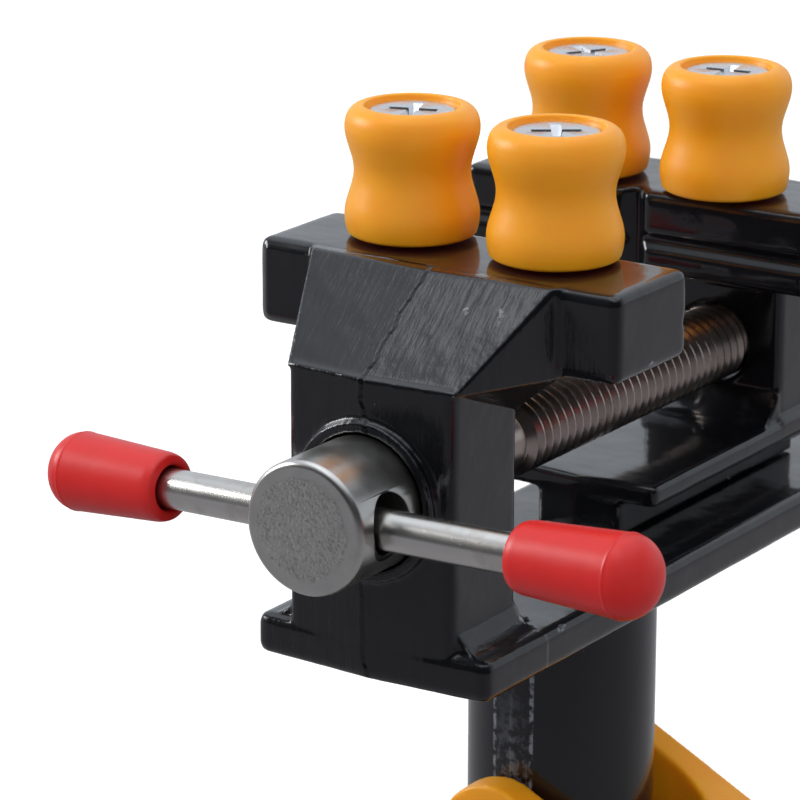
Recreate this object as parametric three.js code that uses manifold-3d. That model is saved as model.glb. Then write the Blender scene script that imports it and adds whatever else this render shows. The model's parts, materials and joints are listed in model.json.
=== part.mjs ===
// Small bench vise for holding circuit boards: a two-jaw screw vise on a swivelling post,
// locked to the table by a suction base with a cam lever. Millimetres, +Z up.
// Origin: at table level, under the middle of the vise's overall length and width.
// +Y runs from the fixed jaw to the moving jaw. The shapes are drawn about the post axis, and
// the finished group is moved along Y at the end.
import * as THREE from 'three';
import { mergeVertices } from 'three/addons/utils/BufferGeometryUtils.js';
import { RoundedBoxGeometry } from 'three/addons/geometries/RoundedBoxGeometry.js';
import { ConvexGeometry } from 'three/addons/geometries/ConvexGeometry.js';
import Module from 'manifold-3d';

const wasm = await Module();
wasm.setup();

// ---------------------------------------------------------------- driving dimensions
const GAP = 0.3;                  // clearance between neighbouring pieces
const FINE = 36;                  // facets round large, medium and small turned surfaces
const MEDIUM = 28;
const COARSE = 20;

const AXIS_Z = 86;                // screw axis above the table
const BED_Z = 64;                 // underside of the bed
const BED_TOP = 69;               // top of the bed
const BED_HALF = 16.3;            // half width of the bed
const BED_END_Y = 77.9;           // rear end of the bed
const NOSE_Y = -43.2;             // front face of the fixed jaw at its sides
const DRAFT = 0.9;                // how far the parting ridge stands in front of the sides

const BAR_HALF = 25;              // half length of a jaw bar
const BAR_BOTTOM = 100.2;
const BAR_TOP = 110.8;
const BAR_EDGE_R = 1.2;
const BLOCK_HALF = 11.5;          // half width of the fixed jaw's block
const BLOCK_BACK_Y = -29.4;
const FRONT_BAR_Y = -30;          // outer face of the fixed jaw's bar
const FRONT_BAR_DEPTH = 16;
const REAR_BAR_Y = 15.2;          // clamping face of the moving jaw's bar
const REAR_BAR_DEPTH = 15.1;
const REAR_BLOCK_Y = 36.2;        // inner face of the moving jaw's block
const REAR_BLOCK_END_Y = 48.6;
const REAR_BLOCK_HALF = 10.2;

const SLIDE_TOP = 76.8;           // T-shaped slide under the moving jaw
const SLIDE_BOTTOM = 74.1;
const SLIDE_HALF = 11.2;
const SLIDE_FRONT_Y = 3.1;
const WEB_HALF = 5.9;
const SLOT_HALF = 3.3;            // guide slot through the bed
const SLOT_FRONT_Y = 12.2;
const SLOT_END_Y = 71.9;
const KEY_FRONT_Y = 36;           // guide key that runs in the slot
const KEY_END_Y = 45.2;
const KEEPER_SCREW_Y = 40.6;

const ROLLER_X = 10;
const FRONT_ROLLER_Y = -19.35;
const REAR_ROLLER_Y = 20.65;
const ROLLER_HEIGHT = 15.7;
const ROLLER_BULGE_R = 8.17;
const ROLLER_WAIST_R = 7.05;
const ROLLER_SCREW_R = 2;
const ROLLER_HEAD_R = 5.15;

const HEAD_R = 8;                 // spindle head
const HEAD_FRONT_Y = -56.4;
const HEAD_BACK_Y = -44.2;
const THREAD_R = 5;
const NECK_R = 3.9;
const THREAD_START_Y = -15.4;
const THREAD_END_Y = 69.6;

const TOMMY_Y = -50.2;            // cross bar through the spindle head
const TOMMY_R = 2.4;
const TOMMY_DROP = 0.5;           // the bar hangs low in its loose hole
const TOMMY_LEAN = THREE.MathUtils.degToRad(5.1);
const SPINDLE_ROLL = THREE.MathUtils.degToRad(3.2);
const CROSS_HOLE_R = 3.6;
const CAP_LENGTH = 18.1;
const CAP_WALL = 2.7;             // closed end of a cap
const CAP_INNER_R = 4.2;
const CAP_OUTER_R = 4.87;
const CAP_DOME = 3.8;
const CAP_LEFT_X = -24.8;         // inner end faces of the two end caps, along the bar
const CAP_RIGHT_X = 26.7;
const HANDLE_FRONT_Y = -58.7;     // nearest point of the right cap

const POST_R = 11.8;
const POST_BOTTOM = 8.3;
const POST_TOP = 62.8;
const LEVER_Z = 33.9;             // lever pivot above the table
const LEVER_PITCH = THREE.MathUtils.degToRad(20);
const ARM_INNER_Y = 12.2;
const ARM_OUTER_Y = 16.7;
const ARM_END_R = 7.5;
const LEVER_REACH = 40;
const FORK_CROTCH_X = 8;          // centre of the round crotch between the arms
const PIN_R = 2.5;

const CUP_R = 40.2;
const TAB_REACH = 43.9;           // tip of the tab that lets air under the cup
const HOUSING_R = 39;
const DECK_Z = 25.6;              // flat the lever's cams press on
const CAM_LOCKED = 8;             // pivot height over the deck, locked and released
const CAM_RELEASED = 5;
const CAM_SWEEP = THREE.MathUtils.degToRad(42);

// ---------------------------------------------------------------- materials
function finish(color, roughness, metalness) {
  return new THREE.MeshStandardMaterial({ color, roughness, metalness });
}

const BLACK_PAINT = finish(0x101114, 0.25, 0.1);
const ORANGE_NYLON = finish(0xf09a2a, 0.45, 0);
const RED_PLASTIC = finish(0xc8231e, 0.4, 0);
const NICKEL_STEEL = finish(0xb9b8b4, 0.3, 1);
const ZINC_STEEL = finish(0xc6c8cb, 0.3, 1);
const BLACK_PLASTIC = finish(0x17181a, 0.5, 0);
const RUBBER = finish(0x0d0d0e, 0.85, 0);
const WHITE_NYLON = finish(0xd8d6cd, 0.5, 0);

// ---------------------------------------------------------------- solids and booleans
function toSolid(geometry) {
  const bare = geometry.clone();
  bare.deleteAttribute('normal');
  bare.deleteAttribute('uv');
  const merged = mergeVertices(bare, 1e-4);
  return new wasm.Manifold(new wasm.Mesh({
    numProp: 3,
    vertProperties: new Float32Array(merged.attributes.position.array),
    triVerts: new Uint32Array(merged.index.array),
  }));
}

function toGeometry(solid) {
  const mesh = solid.getMesh();
  const geometry = new THREE.BufferGeometry();
  geometry.setAttribute('position', new THREE.BufferAttribute(mesh.vertProperties, 3));
  geometry.setIndex(new THREE.BufferAttribute(mesh.triVerts, 1));
  geometry.computeVertexNormals();
  return geometry;
}

function unite(first, ...others) {
  return others.reduce((sum, geometry) => sum.add(toSolid(geometry)), toSolid(first));
}

function cut(solid, ...tools) {
  return tools.reduce((rest, tool) => rest.subtract(toSolid(tool)), solid);
}

// ---------------------------------------------------------------- basic shapes
function box(x0, x1, y0, y1, z0, z1) {
  const geometry = new THREE.BoxGeometry(x1 - x0, y1 - y0, z1 - z0);
  return geometry.translate((x0 + x1) / 2, (y0 + y1) / 2, (z0 + z1) / 2);
}

function roundedBox(x0, x1, y0, y1, z0, z1) {
  const geometry = new RoundedBoxGeometry(x1 - x0, y1 - y0, z1 - z0, 2, BAR_EDGE_R);
  return geometry.translate((x0 + x1) / 2, (y0 + y1) / 2, (z0 + z1) / 2);
}

// Revolves [radius, height] points about +Z.
function turnedZ(points, segments) {
  const profile = points.map(([radius, height]) => new THREE.Vector2(radius, height));
  return new THREE.LatheGeometry(profile, segments).rotateX(Math.PI / 2);
}

// Revolves [radius, distance] points about +Y.
function turnedY(points, segments) {
  const profile = points.map(([radius, distance]) => new THREE.Vector2(radius, distance));
  return new THREE.LatheGeometry(profile, segments);
}

function rodY(radius, y0, y1, segments = MEDIUM) {
  return turnedY([[0, y0], [radius, y0], [radius, y1], [0, y1]], segments);
}

function rodZ(radius, z0, z1, segments = COARSE) {
  return turnedZ([[0, z0], [radius, z0], [radius, z1], [0, z1]], segments);
}

// Polygon with rounded corners: each corner is [x, y, radius].
function roundedOutline(corners) {
  const shape = new THREE.Shape();
  const count = corners.length;
  corners.forEach(([x, y, radius], i) => {
    const corner = new THREE.Vector2(x, y);
    const before = new THREE.Vector2(...corners[(i + count - 1) % count]);
    const after = new THREE.Vector2(...corners[(i + 1) % count]);
    const start = before.sub(corner).setLength(radius).add(corner);
    const end = after.sub(corner).setLength(radius).add(corner);
    if (i === 0) {
      shape.moveTo(start.x, start.y);
    } else {
      shape.lineTo(start.x, start.y);
    }
    if (radius > 0) {
      shape.quadraticCurveTo(x, y, end.x, end.y);
    }
  });
  shape.closePath();
  return shape;
}

// Extrudes an X-Y outline from z0 to z1.
function plate(shape, z0, z1, bevel = 0) {
  return new THREE.ExtrudeGeometry(shape, {
    depth: z1 - z0 - 2 * bevel,
    curveSegments: 4,
    bevelEnabled: bevel > 0,
    bevelThickness: bevel,
    bevelSize: bevel,
    bevelOffset: -bevel,
    bevelSegments: 2,
  }).translate(0, 0, z0 + bevel);
}

// Extrudes an X-Z outline from y0 to y1.
function sectionXZ(shape, y0, y1) {
  const options = { depth: y1 - y0, curveSegments: 5, bevelEnabled: false };
  const geometry = new THREE.ExtrudeGeometry(shape, options);
  return geometry.rotateX(Math.PI / 2).translate(0, y1, 0);
}

// Extrudes a Y-Z outline from x0 to x1.
function sectionYZ(shape, x0, x1) {
  const options = { depth: x1 - x0, curveSegments: 5, bevelEnabled: false };
  const geometry = new THREE.ExtrudeGeometry(shape, options);
  return geometry.rotateX(Math.PI / 2).rotateZ(Math.PI / 2).translate(x0, 0, 0);
}

// Concave fillet in the corner between a wall and a floor, as a closed outline.
function filletOutline(wall, floor, radius, side) {
  const sink = 0.4;
  const shape = new THREE.Shape();
  shape.moveTo(wall - side * sink, floor - sink);
  shape.lineTo(wall + side * radius, floor - sink);
  shape.lineTo(wall + side * radius, floor);
  shape.quadraticCurveTo(wall + side * radius * 0.25, floor + radius * 0.25, wall, floor + radius);
  shape.lineTo(wall - side * sink, floor + radius);
  shape.closePath();
  return shape;
}

const parts = new THREE.Group();

function addPart(name, shape, material, group = parts) {
  const geometry = shape instanceof wasm.Manifold ? toGeometry(shape) : shape;
  const mesh = new THREE.Mesh(geometry, material);
  mesh.name = name;
  group.add(mesh);
  return mesh;
}

// ---------------------------------------------------------------- jaw details shared by both jaws
// Sloping gusset between a block and its bar. outward is -1 for the fixed jaw, +1 for the moving jaw.
function gusset(barY, blockY, outward, blockHalf) {
  const flare = 17.4;
  const shoulder = 16.6;
  const slopeTopY = barY + outward * 0.7;
  const undersideZ = 95.3;
  const corners = [
    [blockHalf, blockY, BAR_BOTTOM],
    [flare, barY - outward * 0.6, BAR_BOTTOM],
    [flare, barY - outward * 0.6, BAR_TOP],
    [shoulder, slopeTopY, BAR_TOP],
    [blockHalf, barY, undersideZ],
  ];
  const points = [
    new THREE.Vector3(0, blockY + outward * DRAFT, BAR_BOTTOM),
    new THREE.Vector3(0, slopeTopY + outward * DRAFT, BAR_TOP),
  ];
  for (const [x, y, z] of corners) {
    points.push(new THREE.Vector3(x, y, z), new THREE.Vector3(-x, y, z));
  }
  return new ConvexGeometry(points);
}

// Cutters for the grooves in a clamping face at y: one upright V and one long V.
function clampGrooves(y, inward) {
  const upright = roundedOutline([
    [-1.9, y, 0], [0, y - inward * 1.9, 0], [1.9, y, 0], [0, y + inward * 2, 0],
  ]);
  const long = roundedOutline([
    [y, 103.2, 0], [y - inward * 1.2, 104.5, 0], [y, 105.8, 0], [y + inward * 2, 104.5, 0],
  ]);
  return [
    plate(upright, BAR_BOTTOM - 1, BAR_TOP + 1),
    sectionYZ(long, -BAR_HALF - 1, BAR_HALF + 1),
  ];
}

function rollerScrewHoles(y) {
  const radius = ROLLER_SCREW_R + GAP;
  return [-ROLLER_X, ROLLER_X].map((x) => rodZ(radius, BAR_BOTTOM - 1, BAR_TOP + 1).translate(x, y, 0));
}

// Plan outline whose front edge is a shallow V with its ridge on the parting line.
function noseOutline(half, frontY, backY, frontR, backR) {
  return roundedOutline([
    [0, frontY - DRAFT, 0],
    [half, frontY, frontR],
    [half, backY, backR],
    [-half, backY, backR],
    [-half, frontY, frontR],
  ]);
}

// ---------------------------------------------------------------- vise body
function fixedJawAndBed() {
  const bed = plate(noseOutline(BED_HALF, NOSE_Y, BED_END_Y, 1.6, 4), BED_Z, BED_TOP, 1.1);
  const block = plate(noseOutline(BLOCK_HALF, NOSE_Y, BLOCK_BACK_Y, 1.2, 1), BED_Z + 1.5, BAR_BOTTOM + 0.5);
  const barBack = FRONT_BAR_Y + FRONT_BAR_DEPTH;
  const bar = roundedBox(-BAR_HALF, BAR_HALF, FRONT_BAR_Y, barBack, BAR_BOTTOM, BAR_TOP);
  const collar = rodY(9.6, HEAD_BACK_Y - 0.6, NOSE_Y + 2, FINE).translate(0, 0, AXIS_Z);
  const fillets = [-1, 1].map((side) => sectionXZ(
    filletOutline(side * BLOCK_HALF, BED_TOP, 2.6, side), NOSE_Y + 1.2, BLOCK_BACK_Y));
  const backFillet = sectionYZ(filletOutline(BLOCK_BACK_Y, BED_TOP, 2.6, 1), -BLOCK_HALF, BLOCK_HALF);
  const slope = gusset(FRONT_BAR_Y, NOSE_Y, -1, BLOCK_HALF);
  const casting = unite(bed, block, slope, bar, collar, ...fillets, backFillet);
  const seat = rodY(HEAD_R + GAP, HEAD_BACK_Y - 2, HEAD_BACK_Y + GAP, FINE).translate(0, 0, AXIS_Z);
  const bore = rodY(THREAD_R + GAP, -50, BLOCK_BACK_Y + 4).translate(0, 0, AXIS_Z);
  const slot = box(-SLOT_HALF, SLOT_HALF, SLOT_FRONT_Y, SLOT_END_Y, BED_Z - 1, BED_TOP + 1);
  const swivelHole = turnedZ([
    [0, BED_Z - 1], [3.3, BED_Z - 1], [3.3, 65.4], [6.6, 68.7], [6.6, 70], [0, 70],
  ], MEDIUM);
  return cut(casting, seat, bore, slot, swivelHole, ...rollerScrewHoles(FRONT_ROLLER_Y),
    ...clampGrooves(FRONT_BAR_Y + FRONT_BAR_DEPTH, 1));
}

addPart('fixed_jaw_and_bed', fixedJawAndBed(), BLACK_PAINT);

// ---------------------------------------------------------------- moving jaw
function movingJaw() {
  const slideOutline = noseOutline(SLIDE_HALF, SLIDE_FRONT_Y, REAR_BLOCK_END_Y, 0.8, 0.8);
  const slide = plate(slideOutline, SLIDE_BOTTOM, SLIDE_TOP, 0.5);
  const webOutline = noseOutline(WEB_HALF, SLIDE_FRONT_Y, REAR_BLOCK_END_Y, 0.5, 0.5);
  const web = plate(webOutline, BED_TOP + GAP, SLIDE_TOP - 1);
  const blockOutline = roundedOutline([
    [-REAR_BLOCK_HALF, REAR_BLOCK_Y, 1.2],
    [REAR_BLOCK_HALF, REAR_BLOCK_Y, 1.2],
    [REAR_BLOCK_HALF, REAR_BLOCK_END_Y, 1.2],
    [0, REAR_BLOCK_END_Y + DRAFT, 0],
    [-REAR_BLOCK_HALF, REAR_BLOCK_END_Y, 1.2],
  ]);
  const block = plate(blockOutline, SLIDE_BOTTOM + 0.6, BAR_BOTTOM + 0.5);
  const bar = roundedBox(-BAR_HALF, BAR_HALF, REAR_BAR_Y, REAR_BAR_Y + REAR_BAR_DEPTH, BAR_BOTTOM, BAR_TOP);
  const brace = gusset(REAR_BAR_Y + REAR_BAR_DEPTH, REAR_BLOCK_END_Y, 1, REAR_BLOCK_HALF);
  const innerOutline = filletOutline(REAR_BLOCK_Y, SLIDE_TOP, 4, -1);
  const innerFillet = sectionYZ(innerOutline, -REAR_BLOCK_HALF, REAR_BLOCK_HALF);
  const sideFillets = [-1, 1].map((side) => sectionXZ(
    filletOutline(side * REAR_BLOCK_HALF, SLIDE_TOP, 1, side), REAR_BLOCK_Y, REAR_BLOCK_END_Y - 0.6));
  const key = box(-SLOT_HALF + GAP, SLOT_HALF - GAP, KEY_FRONT_Y, KEY_END_Y, BED_Z, BED_TOP + 1);
  const casting = unite(slide, web, block, bar, brace, innerFillet, ...sideFillets, key);
  const bore = rodY(THREAD_R + GAP, 20, 60).translate(0, 0, AXIS_Z);
  const keeperHole = rodZ(2.3, BED_Z - 1, 73).translate(0, KEEPER_SCREW_Y, 0);
  return cut(casting, bore, keeperHole, ...rollerScrewHoles(REAR_ROLLER_Y), ...clampGrooves(REAR_BAR_Y, -1));
}

addPart('moving_jaw', movingJaw(), BLACK_PAINT);

// Keeper under the bed that stops the moving jaw from lifting.
const keeperBlank = roundedOutline([[-8, 36, 1.5], [8, 36, 1.5], [8, 47.4, 1.5], [-8, 47.4, 1.5]]);
const keeperPlate = toSolid(plate(keeperBlank, 61.2, BED_Z - GAP));
addPart('keeper_plate', cut(keeperPlate, rodZ(2.3, 60, 65).translate(0, KEEPER_SCREW_Y, 0)), ZINC_STEEL);

// Pan-head screw pointing up, with a cross recess in its head.
function keeperScrew() {
  const body = turnedZ([
    [0, 58.4], [2.6, 58.4], [3.6, 59.3], [3.6, 60.9], [2, 60.9], [2, 72], [0, 72],
  ], COARSE);
  const recess = [box(-2, 2, -0.45, 0.45, 58, 59.6), box(-0.45, 0.45, -2, 2, 58, 59.6)];
  return cut(toSolid(body), ...recess);
}

addPart('keeper_screw', keeperScrew(), ZINC_STEEL).position.set(0, KEEPER_SCREW_Y, 0);

// ---------------------------------------------------------------- rollers and their screws
const ROLLER_BOTTOM = BAR_TOP + GAP;

function rollerProfile() {
  const points = [[ROLLER_SCREW_R + GAP, 0], [7.5, 0]];
  const endBand = 2.5;
  const steps = 6;
  points.push([7.95, 0.7]);
  for (let i = 0; i <= steps; i += 1) {
    const height = endBand + (ROLLER_HEIGHT - 2 * endBand) * (i / steps);
    const swell = (1 + Math.cos(2 * Math.PI * (i / steps))) / 2;
    points.push([ROLLER_WAIST_R + (ROLLER_BULGE_R - ROLLER_WAIST_R) * swell, height]);
  }
  points.push([7.85, ROLLER_HEIGHT - 1.1], [7.1, ROLLER_HEIGHT - 0.2], [6.5, ROLLER_HEIGHT]);
  points.push([5.75, ROLLER_HEIGHT], [5.6, ROLLER_HEIGHT - 0.7], [ROLLER_SCREW_R + GAP, ROLLER_HEIGHT - 4.1]);
  points.push([ROLLER_SCREW_R + GAP, 0]);
  return points;
}

function rollerScrew() {
  const top = ROLLER_HEIGHT - 0.6;
  const body = turnedZ([
    [0, -9], [ROLLER_SCREW_R - 0.4, -9], [ROLLER_SCREW_R, -8.5], [ROLLER_SCREW_R, top - 3.35],
    [ROLLER_HEAD_R, top - 0.25], [ROLLER_HEAD_R - 0.3, top], [0, top],
  ], COARSE);
  const recess = [-1, 1].map((turn) => box(-2.9, 2.9, -0.5, 0.5, top - 1.3, top + 1)
    .rotateZ(turn * Math.PI / 4));
  return cut(toSolid(body), ...recess);
}

const rollerPlaces = [
  ['front_left', -ROLLER_X, FRONT_ROLLER_Y],
  ['front_right', ROLLER_X, FRONT_ROLLER_Y],
  ['rear_left', -ROLLER_X, REAR_ROLLER_Y],
  ['rear_right', ROLLER_X, REAR_ROLLER_Y],
];
for (const [place, x, y] of rollerPlaces) {
  const roller = addPart(`roller_${place}`, turnedZ(rollerProfile(), COARSE + 2), ORANGE_NYLON);
  roller.position.set(x, y, ROLLER_BOTTOM);
  addPart(`roller_screw_${place}`, rollerScrew(), ZINC_STEEL).position.set(x, y, ROLLER_BOTTOM);
}

// ---------------------------------------------------------------- spindle
function spindle() {
  const body = turnedY([
    [0, HEAD_FRONT_Y], [HEAD_R - 0.5, HEAD_FRONT_Y], [HEAD_R, HEAD_FRONT_Y + 0.5], [HEAD_R, HEAD_BACK_Y],
    [THREAD_R, HEAD_BACK_Y], [THREAD_R, BLOCK_BACK_Y + GAP - 0.4], [NECK_R, BLOCK_BACK_Y + GAP - 0.4],
    [NECK_R, -27.9], [NECK_R - 0.8, -27.9], [NECK_R - 0.8, -26.5], [NECK_R, -26.5],
    [NECK_R, THREAD_START_Y], [THREAD_R, THREAD_START_Y + 1],
    [THREAD_R, THREAD_END_Y - 1], [THREAD_R - 1, THREAD_END_Y], [0, THREAD_END_Y],
  ], MEDIUM);
  const crossHole = rodZ(CROSS_HOLE_R, -HEAD_R - 1, HEAD_R + 1).rotateY(Math.PI / 2 - SPINDLE_ROLL)
    .translate(0, TOMMY_Y, 0);
  return cut(toSolid(body), crossHole);
}

addPart('spindle', spindle(), NICKEL_STEEL).position.set(0, 0, AXIS_Z);

function ringY(inner, outer, y0, y1, segments = COARSE) {
  return turnedY([[inner, y0], [outer, y0], [outer, y1], [inner, y1], [inner, y0]], segments);
}

// Open retaining ring around +Y, with its mouth pointing down.
function retainingRing(inner, outer, y0, y1) {
  const mouth = box(-inner * 0.8, inner * 0.8, y0 - 1, y1 + 1, -outer - 1, 0);
  return cut(toSolid(ringY(inner, outer, y0, y1)), mouth);
}

addPart('spindle_washer', ringY(NECK_R + GAP, 7.4, -29.1, -28.2), ZINC_STEEL).position.set(0, 0, AXIS_Z);
addPart('spindle_clip', retainingRing(NECK_R - 0.5, 6, -27.6, -26.8), ZINC_STEEL).position.set(0, 0, AXIS_Z);

// ---------------------------------------------------------------- tommy bar and end caps
// The bar and its caps, drawn along X and then leaned as they hang in the spindle head.
const handle = new THREE.Group();
handle.position.set(0, TOMMY_Y, AXIS_Z - TOMMY_DROP);
handle.rotation.set(0, -SPINDLE_ROLL, -TOMMY_LEAN, 'YZX');
parts.add(handle);

const tommyReach = CAP_LENGTH - CAP_WALL - GAP;
const tommyLeft = CAP_LEFT_X - tommyReach;
const tommyRight = CAP_RIGHT_X + tommyReach;
const tommyBar = turnedY([
  [0, tommyLeft], [TOMMY_R - 0.4, tommyLeft], [TOMMY_R, tommyLeft + 0.4],
  [TOMMY_R, tommyRight - 0.4], [TOMMY_R - 0.4, tommyRight], [0, tommyRight],
], COARSE).rotateZ(-Math.PI / 2);
addPart('tommy_bar', tommyBar, NICKEL_STEEL, handle);

// Tapered cap with a domed end. The open end is at 0 and the dome points along +Y.
function capShape() {
  const socketR = TOMMY_R + GAP;
  const shoulder = CAP_LENGTH - CAP_DOME;
  const socketEnd = CAP_LENGTH - CAP_WALL;
  const points = [[0, socketEnd], [socketR, socketEnd], [socketR, 0], [CAP_INNER_R - 0.9, 0]];
  points.push([CAP_INNER_R - 0.2, 0.4], [CAP_INNER_R, 1.1]);
  const steps = 5;
  for (let i = 0; i <= steps; i += 1) {
    const turn = (Math.PI / 2) * (i / steps);
    points.push([CAP_OUTER_R * Math.cos(turn), shoulder + CAP_DOME * Math.sin(turn)]);
  }
  points[points.length - 1][0] = 0;
  return turnedY(points, COARSE);
}

addPart('cap_left', capShape().rotateZ(Math.PI / 2), RED_PLASTIC, handle).position.x = CAP_LEFT_X;
addPart('cap_right', capShape().rotateZ(-Math.PI / 2), RED_PLASTIC, handle).position.x = CAP_RIGHT_X;

// ---------------------------------------------------------------- post and swivel
function post() {
  const body = turnedZ([
    [0, POST_BOTTOM], [POST_R - 0.6, POST_BOTTOM], [POST_R, POST_BOTTOM + 0.6],
    [POST_R, POST_TOP - 0.4], [POST_R - 0.4, POST_TOP], [0, POST_TOP],
  ], FINE);
  const pinHole = rodY(PIN_R + GAP, -POST_R - 1, POST_R + 1, COARSE).translate(0, 0, LEVER_Z);
  return cut(toSolid(body), pinHole, rodZ(3.3, 47, POST_TOP + 1), rodZ(3.3, POST_BOTTOM - 1, 21.5));
}

addPart('post', post(), BLACK_PAINT);

const swivelWasher = turnedZ([[3.3, 63.1], [11, 63.1], [11, 63.7], [3.3, 63.7], [3.3, 63.1]], MEDIUM);
addPart('swivel_washer', swivelWasher, BLACK_PLASTIC);

function swivelBolt() {
  const body = turnedZ([
    [0, 48], [2.6, 48], [3, 48.5], [3, 65.5], [6.1, 68.6], [6.1, 68.8], [0, 68.8],
  ], COARSE);
  const socket = new THREE.CylinderGeometry(2.3, 2.3, 3.4, 6).rotateX(Math.PI / 2).translate(0, 0, 68);
  return cut(toSolid(body), socket);
}

addPart('swivel_bolt', swivelBolt(), ZINC_STEEL);

// ---------------------------------------------------------------- lever with its cams
// Outline in the plane across the pivot, for the locked lever: x along world +X, y up, pivot at 0, 0.
// Between the locked and released directions the cam's reach falls in proportion to the turn.
function camPoint(turn) {
  const rate = (CAM_LOCKED - CAM_RELEASED) / CAM_SWEEP;
  const reach = CAM_LOCKED - rate * turn;
  const angle = -Math.PI / 2 - turn;
  return new THREE.Vector2(
    reach * Math.cos(angle) - rate * Math.sin(angle),
    reach * Math.sin(angle) + rate * Math.cos(angle),
  );
}

function alongLever(distance, rise) {
  return new THREE.Vector2(distance, rise).rotateAround(new THREE.Vector2(), -LEVER_PITCH);
}

function leverOutline() {
  const points = [];
  const steps = 6;
  for (let i = 0; i <= steps; i += 1) {
    points.push(camPoint(CAM_SWEEP * (i / steps)));
  }
  const backSteps = 10;
  for (let i = 0; i <= backSteps; i += 1) {
    const angle = Math.PI - (Math.PI / 2 + LEVER_PITCH) * (i / backSteps);
    points.push(new THREE.Vector2(ARM_END_R * Math.cos(angle), ARM_END_R * Math.sin(angle)));
  }
  const tipHalf = 2.4;
  const tipSteps = 6;
  for (let i = 0; i <= tipSteps; i += 1) {
    const angle = Math.PI / 2 - Math.PI * (i / tipSteps);
    const distance = LEVER_REACH - tipHalf + tipHalf * Math.cos(angle);
    points.push(alongLever(distance, 0.6 + tipHalf * Math.sin(angle)));
  }
  points.push(alongLever(20, -1.8), alongLever(12.5, -3));
  return new THREE.Shape(points);
}

// Plan of the fork: two arms that run beside the post into a rounded paddle.
function forkPlan() {
  const shape = new THREE.Shape();
  const tipX = LEVER_REACH;
  shape.moveTo(-20, -ARM_OUTER_Y);
  shape.lineTo(tipX - 14, -ARM_OUTER_Y);
  shape.bezierCurveTo(tipX - 5, -ARM_OUTER_Y, tipX, -9, tipX, 0);
  shape.bezierCurveTo(tipX, 9, tipX - 5, ARM_OUTER_Y, tipX - 14, ARM_OUTER_Y);
  shape.lineTo(-20, ARM_OUTER_Y);
  shape.lineTo(-20, ARM_INNER_Y);
  shape.lineTo(FORK_CROTCH_X, ARM_INNER_Y);
  shape.absarc(FORK_CROTCH_X, 0, ARM_INNER_Y, Math.PI / 2, -Math.PI / 2, true);
  shape.lineTo(-20, -ARM_INNER_Y);
  shape.closePath();
  return shape;
}

function leverFork() {
  const side = sectionXZ(leverOutline(), -ARM_OUTER_Y, ARM_OUTER_Y);
  const fork = new THREE.ExtrudeGeometry(forkPlan(), { depth: 80, curveSegments: 9, bevelEnabled: false });
  fork.translate(0, 0, -40);
  const hole = rodY(PIN_R + GAP, -ARM_OUTER_Y - 1, ARM_OUTER_Y + 1, COARSE);
  return cut(toSolid(side).intersect(toSolid(fork)), hole);
}

addPart('lever_fork', leverFork(), ORANGE_NYLON).position.set(0, 0, LEVER_Z);

const pinBody = turnedY([
  [0, -18.6], [3.4, -18.6], [4, -18.1], [4, -17], [PIN_R, -17], [PIN_R, 17], [PIN_R - 0.6, 17],
  [PIN_R - 0.6, 18.3], [PIN_R, 18.3], [PIN_R, 19], [PIN_R - 0.4, 19.4], [0, 19.4],
], COARSE);
addPart('pivot_pin', pinBody, ZINC_STEEL).position.set(0, 0, LEVER_Z);
addPart('pivot_clip', retainingRing(PIN_R - 0.4, 4.2, 17.3, 18), ZINC_STEEL).position.set(0, 0, LEVER_Z);

// ---------------------------------------------------------------- suction base
const housingProfile = [
  [HOUSING_R, 2.8], [HOUSING_R, 6.2], [38.7, 7.8], [37.9, 9.2], [36.4, 10.8], [20.6, 23], [19, 24.4],
  [17.4, DECK_Z], [15.7, DECK_Z], [15.7, 23.6], [13.9, 23.6], [13.9, 22.3], [18.6, 22.3], [34.8, 9.4],
  [36.4, 7.4], [36.6, 2.8], [HOUSING_R, 2.8],
];
addPart('base_housing', turnedZ(housingProfile, FINE), BLACK_PLASTIC);

const bushProfile = [
  [POST_R + GAP, 14], [13.6, 14], [13.6, 23.9], [15.4, 23.9], [15.4, 25.3], [POST_R + GAP, 25.3],
  [POST_R + GAP, 14],
];
addPart('guide_bush', turnedZ(bushProfile, FINE), WHITE_NYLON);

function suctionCup() {
  const body = turnedZ([
    [3.4, 4.6], [7, 4.6], [7, 3.1], [14, 2.9], [33, 0], [39.8, 0], [CUP_R, 0.5], [CUP_R, 2], [39.8, 2.5],
    [36, 2.5], [33.5, 3.6], [22, 6.2], [3.4, 6.2], [3.4, 4.6],
  ], FINE);
  const tab = roundedOutline([[-TAB_REACH, -5, 2], [-38, -5, 0], [-38, 5, 0], [-TAB_REACH, 5, 2]]);
  return unite(plate(tab, 0.4, 2.3), body);
}

addPart('suction_cup', suctionCup(), RUBBER);

const cupPlateProfile = [[3.3, 6.5], [20, 6.5], [20, 8], [3.3, 8], [3.3, 6.5]];
addPart('cup_plate', turnedZ(cupPlateProfile, MEDIUM), ZINC_STEEL);
const cupBoltProfile = [[0, 3.2], [5, 3.2], [6, 3.7], [6, 4.3], [3, 4.3], [3, 20.5], [2.5, 21], [0, 21]];
addPart('cup_bolt', turnedZ(cupBoltProfile, COARSE), ZINC_STEEL);

class Helix extends THREE.Curve {
  constructor(radius, z0, z1, turns) {
    super();
    Object.assign(this, { radius, z0, z1, turns });
  }

  getPoint(t, target = new THREE.Vector3()) {
    const angle = 2 * Math.PI * this.turns * t;
    const z = this.z0 + (this.z1 - this.z0) * t;
    return target.set(this.radius * Math.cos(angle), this.radius * Math.sin(angle), z);
  }
}

const SPRING_TURNS = 3.5;
const springWire = new THREE.Shape().absarc(0, 0, 0.8, 0, 2 * Math.PI);
const spring = new THREE.ExtrudeGeometry(springWire, {
  steps: 42,
  curveSegments: 3,
  extrudePath: new Helix(17.2, 9.2, 21.2, SPRING_TURNS),
});
addPart('return_spring', spring, ZINC_STEEL);

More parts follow.
